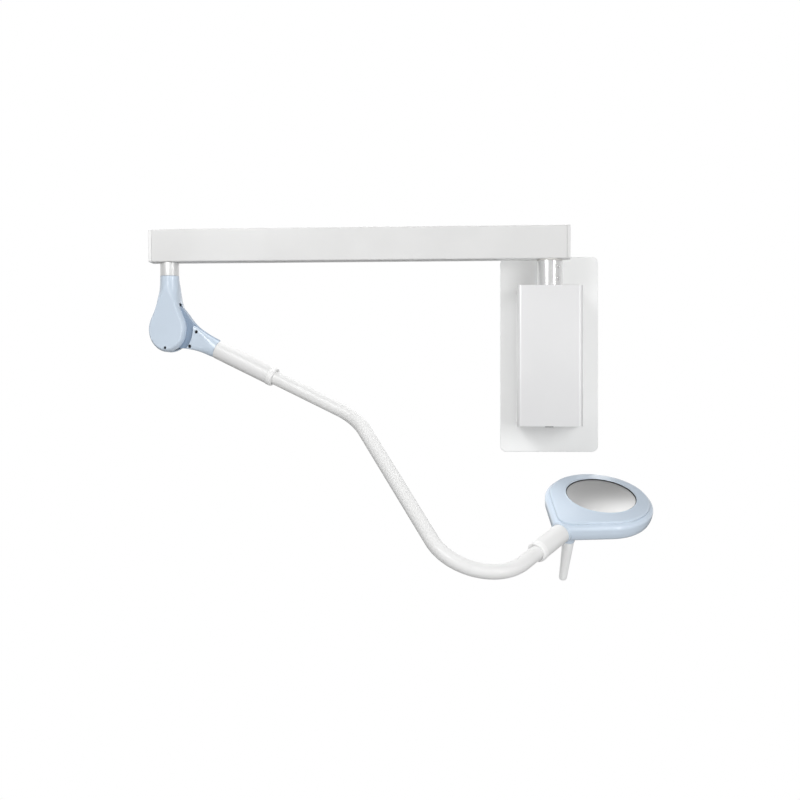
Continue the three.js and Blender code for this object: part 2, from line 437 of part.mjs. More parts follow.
add('handle', at(turned([[0, gripZ1], [4, gripZ1 + 0.4], [6.5, gripZ1 + 2], [gripLow, gripZ1 + 5],
  [gripTop, gripZ0 - GAP], [6, gripZ0 - GAP], [6, -48], [0, -48]], 'z', 24), HANDLE.x), M.handle, HEADF);

export default part;
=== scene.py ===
"""Looks of the wall mounted surgical light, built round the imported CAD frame.

Shapes are laid out in millimetres in a group's own frame, and mesh_data() turns them to metres.
"""
import json
import math

import bmesh
import bpy
import numpy as np
from mathutils import Matrix, Vector
from mathutils.geometry import tessellate_polygon

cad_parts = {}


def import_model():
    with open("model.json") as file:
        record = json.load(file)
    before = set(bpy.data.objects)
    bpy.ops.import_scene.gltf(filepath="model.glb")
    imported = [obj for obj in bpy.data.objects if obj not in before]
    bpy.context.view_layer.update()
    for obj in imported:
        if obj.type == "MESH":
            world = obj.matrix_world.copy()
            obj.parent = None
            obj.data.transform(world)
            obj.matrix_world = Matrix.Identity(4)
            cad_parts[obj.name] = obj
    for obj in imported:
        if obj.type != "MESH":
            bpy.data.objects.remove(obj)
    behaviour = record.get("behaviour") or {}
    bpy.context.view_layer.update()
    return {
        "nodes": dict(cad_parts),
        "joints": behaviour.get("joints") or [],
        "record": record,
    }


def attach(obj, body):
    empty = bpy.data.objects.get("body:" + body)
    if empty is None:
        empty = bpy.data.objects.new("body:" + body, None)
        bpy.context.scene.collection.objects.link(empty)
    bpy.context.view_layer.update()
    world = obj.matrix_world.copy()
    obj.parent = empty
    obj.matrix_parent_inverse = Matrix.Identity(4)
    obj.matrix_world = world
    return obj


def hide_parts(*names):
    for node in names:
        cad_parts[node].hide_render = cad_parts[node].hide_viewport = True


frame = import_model()

MM = 0.001
Z = Vector((0, 0, 1))
WORLD = Matrix.Identity(4)
QUARTER = math.pi / 2

# ---------- design sizes, as in the CAD part ----------
SHAFT_Y = -84                                      # upright axis of the wall column
KNUCKLE_X = -774                                   # upright axis of the knuckle's stub
PIVOT_Z = 50.7                                     # height of the pitch axis
PLATE = dict(width=200, height=400, thick=6, corner=13, hole=3.5, hole_x=52, hole_z=(112, -122))
BOX = dict(half=65, front=-120, back=-6.3, corner=9, wall=2.5, low=-146, top=134)
LID = dict(thick=2.8, back=-8, lip_front=-60, lip=12.2, overlap=0.3)
BOX_SCREW = dict(y=-30, z=(125, -137), hole=1.8, head=3, height=1.8, shank=(1.4, 8))
GROMMET = dict(y=-30, hole=7.3)
COLUMN = dict(ro=26, ri=22.5, low=-22, top=184.5, lid_hole=26.5)
BRAKE = dict(turn=-51.4, z=dict(brake_screw_upper=171.7, brake_screw_lower=148.5), hole=3.3, head=3,
             height=4.2, seat=23.2)
BEAM = dict(depth=44, height=67.2, wall=2.5, x0=-806.4, x1=34.0, z=221.1)
DROP = dict(rx=42, rz=46.6, arc_end=28, lean=30, waist=62, neck=19.3, top=109, front=20, back=25, wall=2.3)
FLARE = dict(low=20, rise=90, front=(42.7, 3.1), back=(46.5, 2))
DROP_SCREW = dict(x=-1, z=-37.8, hole=2.9, head=2.6, height=1.3, shank=(1.4, 9.5), sunk=1.2)
CONE_SCREW = dict(upper=(61.5, 14.6), lower=(60.5, -17.8), hole=3.5, head=3.2, height=1.9, shank=(1.5, 20),
                  seat=-11.5)
LIFT = 7.3                                         # arm axis above the pitch axis
ROLL_AT = 200                                      # tube_roll joint, along the arm from its frame
TONGUE = 7.3                                       # half the slot between the two cone covers
SLEEVE = dict(ro=18.8, ri=16.6, x0=114.3, x1=238)
# the tube's ro is 0.1 less than in the CAD part, which keeps it inside the CAD model's box
TUBE = dict(ro=13.9, ri=12, x0=146, l1=399.9, b1=-38.99, r1=114.4, l2=315.7, b2=116.77, r2=99.6, l3=90.5,
            into_neck=10, roll=-60.35, twist=1.3)
HEAD = dict(reach=173.2, lift=30, r=96.3, tip=24.9, a=107.8, off=-4.4, dish=67.4)
NECK_BORE, NECK_DEPTH = 19.1, 33.3
HANDLE_X, BUTTON_X = -107, -84.5


# ---------- frames of the moving groups, from the record's joints ----------
JOINT = {j["name"]: j for j in frame["joints"]}


def basis(x, y, z, o):
    m = Matrix((x, y, z)).transposed().to_4x4()
    m.translation = o
    return m


def axis_of(name):
    return Vector(JOINT[name]["axis"]).normalized()


def spot_of(name):
    return Vector(JOINT[name]["pos_m"]) / MM


back = -axis_of("arm_pitch")
along = axis_of("tube_roll")
KNUCKLE = basis(back.cross(Z), back, Z, spot_of("arm_pitch"))
arm_at = spot_of("tube_roll") - along * ROLL_AT
ARM = basis(along, back, along.cross(back), arm_at)
neck_x, neck_at = axis_of("head_roll"), spot_of("head_roll")
head_z = axis_of("switch_press")
head_x = (neck_x - neck_x.dot(head_z) * head_z).normalized()
head_y = head_z.cross(head_x)
HEAD_FRAME = basis(head_x, head_y, head_z, neck_at + head_x * HEAD["reach"] + head_z * HEAD["lift"])
NECK = basis(neck_x, head_y, neck_x.cross(head_y), neck_at)


# ---------- materials ----------
RELIEF_DEPTH = 0.00003                             # metres


def nodes_of(name):
    m = bpy.data.materials.new(name)
    m.use_nodes = True
    n, l = m.node_tree.nodes, m.node_tree.links
    return m, n, l, n["Principled BSDF"], n.new("ShaderNodeTexCoord")


def noise(n, scale, detail=2):
    node = n.new("ShaderNodeTexNoise")
    node.inputs["Scale"].default_value, node.inputs["Detail"].default_value = scale, detail
    return node


def map_range(n, source=(0, 1), target=(0, 1)):
    node = n.new("ShaderNodeMapRange")
    node.inputs["From Min"].default_value, node.inputs["From Max"].default_value = source
    node.inputs["To Min"].default_value, node.inputs["To Max"].default_value = target
    return node


def ramp_of(n, stops):
    """A colour ramp with stops of (place, colour)."""
    node = n.new("ShaderNodeValToRGB")
    elements = node.color_ramp.elements
    for i, (where, color) in enumerate(stops):
        stop = elements[i] if i < 2 else elements.new(where)
        stop.position, stop.color = where, (*color, 1)
    return node


def finish_of(name, color, rough, metal=0.0, coat=0.0, grain=900.0, bump=0.15, tint=0.02, swing=0.06,
              stretch=(1, 1, 1), cloud=9.0):
    """Colour clouds, rough patches and a fine grain, all from noise in the piece's own coordinates."""
    m, n, l, bsdf, tc = nodes_of(name)
    mapping = n.new("ShaderNodeMapping")
    mapping.inputs["Scale"].default_value = stretch
    l.new(tc.outputs["Object"], mapping.inputs["Vector"])
    clouds, fine = noise(n, cloud, 3), noise(n, grain)
    l.new(tc.outputs["Object"], clouds.inputs["Vector"])
    l.new(mapping.outputs["Vector"], fine.inputs["Vector"])

    darker = [max(0, c * (1 - tint)) for c in color]
    lighter = [min(1, c * (1 + tint)) for c in color]
    ramp = ramp_of(n, ((0.35, darker), (0.65, lighter)))
    l.new(clouds.outputs["Fac"], ramp.inputs["Fac"])
    l.new(ramp.outputs["Color"], bsdf.inputs["Base Color"])

    mix = n.new("ShaderNodeMix")
    mix.inputs["Factor"].default_value = 0.5
    l.new(clouds.outputs["Fac"], mix.inputs["A"])
    l.new(fine.outputs["Fac"], mix.inputs["B"])
    spread = map_range(n, (0.3, 0.7), (max(0.02, rough - swing), min(1, rough + swing)))
    l.new(mix.outputs["Result"], spread.inputs["Value"])
    l.new(spread.outputs["Result"], bsdf.inputs["Roughness"])

    relief = n.new("ShaderNodeBump")
    relief.inputs["Strength"].default_value = bump
    relief.inputs["Distance"].default_value = RELIEF_DEPTH
    l.new(fine.outputs["Fac"], relief.inputs["Height"])
    l.new(relief.outputs["Normal"], bsdf.inputs["Normal"])
    bsdf.inputs["Metallic"].default_value = metal
    bsdf.inputs["Coat Weight"].default_value = coat
    bsdf.inputs["Coat Roughness"].default_value = 0.08
    return m


def clear_of(name, color, rough):
    m, n, l, bsdf, tc = nodes_of(name)
    fine, spread = noise(n, 60), map_range(n, target=(rough, rough + 0.03))
    l.new(tc.outputs["Object"], fine.inputs["Vector"])
    l.new(fine.outputs["Fac"], spread.inputs["Value"])
    l.new(spread.outputs["Result"], bsdf.inputs["Roughness"])
    bsdf.inputs["Base Color"].default_value = (*color, 1)
    bsdf.inputs["Transmission Weight"].default_value = 0.95
    bsdf.inputs["IOR"].default_value = 1.49
    return m


WHITE = (0.88, 0.88, 0.875)
BEAM_WHITE = (0.79, 0.79, 0.785)
BLUE = (0.67, 0.77, 0.885)
# darker blue for the arm's tongue: painted shade, standing in for the shade in the recess between the
# knuckle's covers and the cone covers
RECESS_SHADE_BLUE = (0.27, 0.355, 0.475)
TURNED = (0.3, 0.3, 12)                            # stretches the grain into rings round an upright part
MAT = {
    "white_paint": finish_of("satin_white_paint", WHITE, 0.36, coat=0.12, grain=1400, bump=0.04, tint=0.008,
                             swing=0.03),
    "white_plastic": finish_of("moulded_white", (0.96, 0.96, 0.955), 0.38, grain=2200, tint=0.01),
    "plate_paint": finish_of("pale_plate_paint", (0.97, 0.975, 0.97), 0.45, grain=1100, bump=0.3, tint=0.012),
    "box_aluminium": finish_of("satin_anodised", (0.86, 0.86, 0.865), 0.32, metal=0.2, grain=240, bump=0.06,
                               stretch=(9, 9, 0.15), tint=0.008, swing=0.02),
    "column_metal": finish_of("column_aluminium", (0.9, 0.9, 0.9), 0.22, metal=0.75, grain=300, bump=0.05,
                              stretch=TURNED, tint=0.01, swing=0.02),
    "satin_steel": finish_of("turned_satin_steel", (0.9, 0.9, 0.895), 0.4, metal=0.6, grain=260, bump=0.35,
                             stretch=TURNED, tint=0.03),
    "plain_steel": finish_of("plain_steel", (0.5, 0.51, 0.53), 0.4, metal=1.0, tint=0.05),
    "bearing_bronze": finish_of("oiled_bronze", (0.55, 0.38, 0.2), 0.4, metal=1.0, grain=700, tint=0.08),
    "washer_plastic": finish_of("acetal", (0.75, 0.74, 0.71), 0.5, grain=1500),
    "blue_plastic": finish_of("gloss_blue_plastic", BLUE, 0.2, coat=0.5, grain=1600, bump=0.12, tint=0.015,
                              swing=0.04),
    # the tongue's blue is darkened as painted shade of the recess it sits in, not its own colour
    "blue_paint": finish_of("blue_paint_darkened_as_shade", RECESS_SHADE_BLUE, 0.28, coat=0.3, grain=800, bump=0.2),
    "beam_streaks": finish_of("beam_paint", BEAM_WHITE, 0.34, coat=0.15, grain=26, bump=0.12, tint=0.03,
                              cloud=6, stretch=(0.12, 1, 6)),
    "dark_steel": finish_of("black_oxide", (0.025, 0.027, 0.03), 0.35, metal=0.8, grain=1200, tint=0.2),
    "case_dark": finish_of("black_case", (0.04, 0.042, 0.045), 0.5, bump=0.4, tint=0.1),
    "rubber": finish_of("black_rubber", (0.035, 0.035, 0.037), 0.75, grain=1400, bump=0.5, tint=0.15),
    "dish_silver": finish_of("satin_silver", (0.86, 0.86, 0.855), 0.38, metal=0.8, grain=1400, bump=0.25,
                             tint=0.012),
    "board_white": finish_of("white_board", (0.82, 0.83, 0.8), 0.45, grain=1200),
    "clear": clear_of("clear_window", (0.97, 0.985, 0.99), 0.03),
    "button_blue": finish_of("soft_blue", (0.3, 0.47, 0.7), 0.55, grain=1800, bump=0.3, tint=0.03),
    "handle_grey": finish_of("sterile_handle", (0.94, 0.945, 0.94), 0.42, grain=1500, bump=0.25),
}


# ---------- mesh building ----------
def mesh_data(name, verts, faces, matrix, weld=0.001, dissolve=False):
    """Welded mesh data in metres, from mm coordinates in a group's frame, with its normals outwards."""
    me = bpy.data.meshes.new(name)
    me.from_pydata([tuple(matrix @ Vector(v) * MM) for v in verts], [], faces)
    bm = bmesh.new()
    bm.from_mesh(me)
    bmesh.ops.remove_doubles(bm, verts=bm.verts, dist=weld * MM)
    if dissolve:
        bmesh.ops.dissolve_degenerate(bm, edges=bm.edges, dist=weld * MM * 0.5)
    bmesh.ops.recalc_face_normals(bm, faces=bm.faces)
    bm.to_mesh(me)
    bm.free()
    return me


def put(name, data, at=(0, 0, 0)):
    obj = bpy.data.objects.new(name, data)
    obj.location = at
    bpy.context.scene.collection.objects.link(obj)
    return obj


def mesh(name, verts, faces, matrix, slot, body, nodes=(), sharp=32, weld=0.002, look=None):
    """A finished piece from mm coordinates in a group's frame."""
    obj = put(name, mesh_data(name, verts, faces, matrix, weld, dissolve=True))
    return dress(obj, slot, body, nodes, sharp, look)


def dress(obj, slot, body=None, nodes=(), sharp=32, look=None):
    """Shading, material and the frame's lines for a piece; again after a cut, for the new mesh."""
    obj.data.polygons.foreach_set("use_smooth", [True] * len(obj.data.polygons))
    obj.data.set_sharp_from_angle(angle=math.radians(sharp))
    obj.data.materials.clear()
    obj.data.materials.append(MAT[look or slot])
    if body:
        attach(obj, body)
    if nodes:
        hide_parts(*nodes)
    return obj


def joined(*parts):
    """The vertices and faces of several closed surfaces as one pair."""
    verts, faces = [], []
    for v, f in parts:
        faces += [[i + len(verts) for i in face] for face in f]
        verts += v
    return verts, faces


def strip_faces(rows, n, closed_rows=False):
    """Quads between rows of n points, each row a closed ring."""
    faces = []
    for k in range(rows if closed_rows else rows - 1):
        k2 = (k + 1) % rows
        for i in range(n):
            j = (i + 1) % n
            faces.append((k * n + i, k * n + j, k2 * n + j, k2 * n + i))
    return faces


def circle(r, n, at=(0, 0)):
    turns = [2 * math.pi * i / n for i in range(n)]
    return [(at[0] + r * math.cos(t), at[1] + r * math.sin(t)) for t in turns]


def soften(points, r=0.6, seg=4, closed=False):
    """Rounds each corner of a 2-D line."""
    pts = [Vector(p) for p in points]
    n, out = len(pts), []
    for i, p in enumerate(pts):
        if not closed and i in (0, n - 1):
            out.append(p)
            continue
        a, b = pts[i - 1] - p, pts[(i + 1) % n] - p
        cut_back = min(r, a.length * 0.45, b.length * 0.45)
        if cut_back < 1e-4 or a.angle(b, math.pi) > math.radians(172):
            out.append(p)
            continue
        s, e = p + a.normalized() * cut_back, p + b.normalized() * cut_back
        for t in np.linspace(0, 1, seg + 1):
            out.append(s * (1 - t) ** 2 + p * 2 * t * (1 - t) + e * t * t)
    return out


def lathe(profile, n=96, axis="z", r=0.5, seg=4, at=(0, 0, 0)):
    """Profile of (radius, height). Closed round the axis, or a closed ring where it stands clear of it."""
    ring = profile[0][0] > 1e-6
    pts = soften(profile, r, seg, closed=ring)
    verts = []
    for radius, h in pts:
        for c, s in circle(radius, n):
            v = {"z": (c, s, h), "x": (h, c, s), "y": (c, h, s)}[axis]
            verts.append([v[k] + at[k] for k in range(3)])
    return verts, strip_faces(len(pts), n, closed_rows=ring)


def rod(r, a, b, axis="z", at=(0, 0, 0), n=48):
    return lathe([(0, a), (r, a), (r, b), (0, b)], n, axis, 0.0001, 1, at)


def rounded_rect(w, h, r, seg=10):
    pts = []
    for q, (sx, sy) in enumerate([(1, 1), (-1, 1), (-1, -1), (1, -1)]):
        for i in range(seg + 1):
            t = (q + i / seg) * QUARTER
            pts.append((sx * (w / 2 - r) + r * math.cos(t), sy * (h / 2 - r) + r * math.sin(t)))
    return pts


def inset_of(pts, d):
    """Moves a closed counter-clockwise outline inwards by d."""
    p = np.array(pts, float)
    e = np.roll(p, -1, 0) - p
    e /= np.maximum(np.linalg.norm(e, axis=1, keepdims=True), 1e-9)
    nrm = np.stack([-e[:, 1], e[:, 0]], 1)
    m = nrm + np.roll(nrm, 1, 0)
    m /= np.maximum((m * nrm).sum(1, keepdims=True), 0.5)
    return p + m * d


def slab(outline, z0, z1, edge=0.6, place=lambda x, y, z: (x, y, z), seg=3, holes=(), low_edge=None):
    """A plate with rounded rims and round holes, laid out by place()."""
    low_edge = edge if low_edge is None else low_edge
    turns = np.linspace(0, QUARTER, seg + 1)
    levels = [(low_edge * (1 - math.sin(t)), z0 + low_edge * (1 - math.cos(t))) for t in turns]
    levels += [(edge * (1 - math.cos(t)), z1 - edge * (1 - math.sin(t))) for t in turns]
    n, verts = len(outline), []
    for d, z in levels:
        verts += [(x, y, z) for x, y in inset_of(outline, d)]
    faces = strip_faces(len(levels), n)
    rims, sides = [[], []], 32
    for cx, cy, r in holes:
        for side, z in enumerate((z0, z1)):
            rims[side].append(list(range(len(verts), len(verts) + sides)))
            verts += [(x, y, z) for x, y in circle(r, sides, (cx, cy))]
        a, b = rims[0][-1], rims[1][-1]
        faces += [(a[i], a[(i + 1) % sides], b[(i + 1) % sides], b[i]) for i in range(sides)]
    for side, first in ((0, 0), (1, (len(levels) - 1) * n)):
        rim = list(range(first, first + n))
        if not holes:
            faces.append(rim)
            continue
        loops = [rim] + rims[side]
        flat = [i for loop in loops for i in loop]
        corners = tessellate_polygon([[Vector((*verts[i][:2], 0)) for i in loop] for loop in loops])
        faces += [tuple(flat[k] for k in three) for three in corners]
    return [place(*v) for v in verts], faces


def hollow_bar(outer, inner, x0, x1, place, lip=0.4):
    rows = []
    for pts, x, d in ((outer, x0, lip), (outer, x0 + lip, 0), (outer, x1 - lip, 0), (outer, x1, lip),
                      (inner, x1, 0), (inner, x0, 0)):
        rows.append([place(x, a, b) for a, b in (inset_of(pts, d) if d else pts)])
    return [v for row in rows for v in row], strip_faces(len(rows), len(outer), closed_rows=True)


def sweep(path, outer, inner, n=64):
    """A round tube with its own wall along a path."""
    pts = [Vector(p) for p in path]
    up, rings = None, []
    for i, p in enumerate(pts):
        t = (pts[min(i + 1, len(pts) - 1)] - pts[max(i - 1, 0)]).normalized()
        up = (Z if abs(t.z) < 0.9 else Vector((0, 1, 0))) if up is None else up
        up = (up - t * up.dot(t)).normalized()
        rings.append((p, up.copy(), t.cross(up)))
    verts = []
    for r, course in ((outer, rings), (inner, rings[::-1])):
        for p, across, over in course:
            verts += [tuple(p + across * c + over * s) for c, s in circle(r, n)]
    return verts, strip_faces(2 * len(rings), n, closed_rows=True)


def cut(obj, *tools):
    """Cuts helper solids of (verts, faces, frame) out of a piece, then removes them."""
    for verts, faces, matrix in tools:
        tool = put("tool", mesh_data("tool", verts, faces, matrix))
        mod = obj.modifiers.new("cut", "BOOLEAN")
        mod.operation, mod.solver, mod.object = "DIFFERENCE", "EXACT", tool
        bpy.context.view_layer.update()
        done = bpy.data.meshes.new_from_object(obj.evaluated_get(bpy.context.evaluated_depsgraph_get()))
        obj.modifiers.clear()
        old, obj.data = obj.data, done
        bpy.data.meshes.remove(old)
        bpy.data.objects.remove(tool)


def screw(name, head_r, head_h, matrix, slot, body, nodes, shank=None, socket=0.5):
    """Hex socket screw: local +Z is out of the head, z = 0 under the head. shank is (radius, length)."""
    n, dome, sixth = 48, 0.35, math.pi / 6
    round_rows = [(0, 0), (head_r * 0.96, 0), (head_r, 0.12 * head_h), (head_r, head_h * (1 - dome)),
                  (head_r * 0.93, head_h * (1 - dome * 0.35)), (head_r * 0.8, head_h),
                  (head_r * socket * 1.12, head_h)]
    hex_rows = [(head_r * socket, head_h - 0.06), (head_r * socket, head_h * 0.3)]
    verts = []
    rows = [(*row, False) for row in round_rows] + [(*row, True) for row in hex_rows]
    for r, h, six in rows + [(0, head_h * 0.22, False)]:
        for i in range(n):
            a = 2 * math.pi * i / n
            rr = r * (math.cos(sixth) / math.cos((a % (2 * sixth)) - sixth) if six else 1)
            verts.append((rr * math.cos(a), rr * math.sin(a), h))
    parts = [(verts, strip_faces(len(verts) // n, n))]
    if shank:
        r, length = shank
        parts.append(lathe([(0, -length), (r, -length), (r, -0.01), (0, -0.01)], 24))
    return mesh(name, *joined(*parts), matrix, slot, body, nodes, sharp=28)


def facing(x, y, z, direction, parent=WORLD):
    """A frame at a point whose +Z looks along direction, inside a parent frame."""
    d = Vector(direction).normalized()
    a = d.orthogonal().normalized()
    return parent @ basis(a, d.cross(a), d, Vector((x, y, z)))


# ---------- wall plate and box ----------
def box_outline(inset, back_y, steps):
    """The box from above, open at the wall: a side, two round corners with the front, the other side."""
    half, front, r = BOX["half"] - inset, BOX["front"] + inset, BOX["corner"] - inset
    pts = [(half, back_y)]
    for cx, start in ((half - r, 0), (-(half - r), 1)):
        for i in range(steps + 1):
            t = -QUARTER * (start + i / steps)
            pts.append((cx + r * math.cos(t), front + r + r * math.sin(t)))
    return pts + [(-half, back_y)]


def wall_plate(body):
    fixings = [(k * PLATE["hole_x"], z, PLATE["hole"]) for z in PLATE["hole_z"] for k in (-1, 1)]
    outline = rounded_rect(PLATE["width"], PLATE["height"], PLATE["corner"])
    plate = slab(outline, 0, PLATE["thick"], 1.6, lambda x, y, z: (x, -z, y), 5, fixings, low_edge=0.4)
    mesh("plate", *plate, WORLD, "plate_paint", body, ["wall_plate"])


def box_shell(body):
    outer, inner = (box_outline(inset, BOX["back"], 12) for inset in (0, BOX["wall"]))
    shell = mesh("box_shell", *slab(outer[::-1] + inner, BOX["low"], BOX["top"], 0.5), WORLD, "box_aluminium",
                 body, ["cover_shell"])
    for k in (-1, 1):
        for z in BOX_SCREW["z"]:
            at = (k * (BOX["half"] - 1), BOX_SCREW["y"], z)
            cut(shell, (*rod(BOX_SCREW["hole"], -4, 4, "x", at, 24), WORLD))
    dress(shell, "box_aluminium")


def box_lid(name, node, z0, hole, body):
    """A lid inside the shell, with a lip along each side that the box screws hold."""
    thick, back_y, front_y, half = LID["thick"], LID["back"], LID["lip_front"], BOX["half"] - LID["thick"]
    parts = [slab(box_outline(thick, back_y, 8)[::-1], z0, z0 + thick, 0.5, holes=[hole])]
    if z0 > 0:
        lip = (z0 - LID["lip"], z0 + LID["overlap"])
    else:
        lip = (z0 + thick - LID["overlap"], z0 + thick + LID["lip"])
    for k in (-1, 1):
        a, b = k * half, k * (half - BOX["wall"])
        parts.append(slab([(a, front_y), (a, back_y), (b, back_y), (b, front_y)][::k], *lip, 0.3))
    mesh(name, *joined(*parts), WORLD, "box_aluminium", body, [node])


def grommet(body):
    ring = [(3.5, -149), (9, -149), (9, -146.3), (7, -146.3), (7, -142.9), (9, -142.9), (9, -140.6),
            (3.5, -140.6)]
    mesh("grommet", *lathe(ring, 64, r=1.2, at=(0, GROMMET["y"], 0)), WORLD, "rubber", body,
         ["cable_grommet"])


def box_screws(body):
    under_head = BOX["half"] + 0.3
    for i, (k, z) in enumerate((k, z) for z in BOX_SCREW["z"] for k in (-1, 1)):
        place = facing(k * under_head, BOX_SCREW["y"], z, (k, 0, 0))
        screw(f"box_screw_{i + 1}", BOX_SCREW["head"], BOX_SCREW["height"], place, "satin_steel", body,
              [f"cover_screw_{i + 1}"], BOX_SCREW["shank"])


def wall_column(body):
    inner, outer, low, top = COLUMN["ri"], COLUMN["ro"], COLUMN["low"], COLUMN["top"]
    tube = mesh("pivot_column", *lathe([(inner, low), (outer, low), (outer, top), (inner, top)], 128, r=0.8,
                                       at=(0, SHAFT_Y, 0)),
                WORLD, "white_paint", body, ["pivot_tube"], look="column_metal")
    turn = math.radians(BRAKE["turn"])
    out = Vector((math.cos(turn), math.sin(turn), 0))
    for node, z in BRAKE["z"].items():
        centre = Vector((0, SHAFT_Y, z))
        cut(tube, (*rod(BRAKE["hole"], -4, 4, n=40), facing(*(centre + out * (outer - 1)), out)))
        screw(node.replace("_screw", "_grub"), BRAKE["head"], BRAKE["height"],
              facing(*(centre + out * BRAKE["seat"]), out), "satin_steel", body, [node], socket=0.55)
    dress(tube, "white_paint", look="column_metal")
    ring = [(19.6, 184.8), (25.5, 184.8), (25.5, 187.2), (19.6, 187.2)]
    mesh("thrust_ring", *lathe(ring, at=(0, SHAFT_Y, 0)), WORLD, "washer_plastic", body, ["thrust_washer"])


def wall_group():
    body = "wall_bracket"
    wall_plate(body)
    box_shell(body)
    box_lid("box_top", "cover_top", BOX["top"] - LID["thick"], (0, SHAFT_Y, COLUMN["lid_hole"]), body)
    box_lid("box_bottom", "cover_bottom", BOX["low"], (0, GROMMET["y"], GROMMET["hole"]), body)
    grommet(body)
    box_screws(body)
    wall_column(body)


# ---------- beam ----------
def beam_group():
    body = "extension_arm"
    depth, height, walls = BEAM["depth"], BEAM["height"], 2 * BEAM["wall"]
    outer, inner = rounded_rect(depth, height, 3, 8), rounded_rect(depth - walls, height - walls, 1, 8)
    plug_line = rounded_rect(38.4, 61.6, 1, 8)

    def lay(x, across, up):
        return x, SHAFT_Y + across, BEAM["z"] + up

    def lay_cap(across, up, x):
        return lay(x, across, up)

    mesh("beam_profile", *hollow_bar(outer, inner, BEAM["x0"], BEAM["x1"], lay), WORLD, "white_paint", body,
         ["beam_tube"], look="beam_streaks")
    for name, node, face, plug, look in (
            ("beam_end_wall", "beam_cap_wall", (34.3, 40.8), (29, 34.4), "beam_streaks"),
            ("beam_end_knuckle", "beam_cap_knuckle", (-813.2, -806.7), (-806.8, -803.4), None)):
        cap = joined(slab(outer, *face, 0.9, lay_cap, 4), slab(plug_line, *plug, 0.4, lay_cap))
        mesh(name, *cap, WORLD, "white_plastic", body, [node], look=look)


# ---------- knuckle ----------
def bezier(p, n):
    out = []
    for t in np.linspace(0, 1, n):
        share = [math.comb(3, k) * (1 - t) ** (3 - k) * t ** k for k in range(4)]
        out.append([sum(share[k] * p[k][c] for k in range(4)) for c in (0, 1)])
    return out


def drop_line(inset, steps=44):
    """Right half of the drop, from the bottom to the neck's top."""
    a, rx, rz, neck = math.radians(DROP["arc_end"]), DROP["rx"], DROP["rz"], DROP["neck"]
    arc = [(rx * math.cos(t), rz * math.sin(t)) for t in np.linspace(-QUARTER, a, steps)]
    slope = Vector((-rx * math.sin(a), rz * math.cos(a))).normalized() * DROP["lean"]
    ctrl = [arc[-1], (arc[-1][0] + slope.x, arc[-1][1] + slope.y), (neck, DROP["waist"]), (neck, DROP["top"])]
    line = np.array(arc + bezier(ctrl, 34)[1:])
    d = np.gradient(line, axis=0)
    d /= np.linalg.norm(d, axis=1, keepdims=True)
    return line - np.stack([d[:, 1], -d[:, 0]], 1) * inset


def neck_radius(z, side):
    """The neck is turned about the spindle and flares out downwards, each half by its own curve."""
    width, power = FLARE["front" if side < 0 else "back"]
    k = min(max((z - FLARE["low"]) / FLARE["rise"], 0), 1)
    return DROP["neck"] + width * (1 - k) ** power


def drop_skin(side, inset, flank):
    """Rows of points from the drop's outline to its middle: the full flank, a crease and a flat face."""
    right = drop_line(inset)
    line = [(-x, z) for x, z in right[::-1][:-1]] + [tuple(p) for p in right]
    half = DROP["front" if side < 0 else "back"] - inset
    rows = []
    for x, z in line:
        mid = (0, max(z, 0))
        ray = Vector((x - mid[0], z - mid[1]))
        row = [(x, side * 0.15, z)]
        for d, w in flank:
            p = Vector((x, z)) - ray.normalized() * min(d, ray.length)
            row.append((p.x, side * w * half, p.y))
        rim = Vector((x, z)) - ray.normalized() * min(flank[-1][0], ray.length)
        for u in (0.06, 0.2, 0.4, 0.6, 0.8, 1):
            p = rim.lerp(Vector(mid), u)
            row.append((p.x, side * half, p.y))
        fitted = []
        for px, py, pz in row:
            rho, most = math.hypot(px, py), neck_radius(pz, side) - inset
            k = most / rho if rho > most else 1
            fitted.append((px * k, py * k, pz))
        rows.append(fitted)
    return rows


def drop_shell(side):
    """One half of the knuckle's cover, with its wall: side -1 is the front."""
    depths = [(0, 0.05), (0.15, 0.3), (0.9, 0.52), (2.6, 0.76), (5.2, 0.96), (6.3, 1), (7.5, 1)]
    flank = [tuple(q) for q in soften(depths, 0.9, 4)]
    outer, inner = drop_skin(side, 0, flank), drop_skin(side, DROP["wall"], flank)
    n, m = len(outer), len(outer[0])
    verts = [v for row in outer + inner for v in row]
    faces, base = [], n * m
    for k in range(n - 1):
        for i in range(m - 1):
            a = k * m + i
            faces.append((a, a + 1, a + m + 1, a + m))
            faces.append((base + a, base + a + m, base + a + m + 1, base + a + 1))
        a = k * m
        faces.append((a, a + m, base + a + m, base + a))
    for k in (0, n - 1):
        for i in range(m - 1):
            a = k * m + i
            faces.append((a, a + 1, base + a + 1, base + a))
    return verts, faces


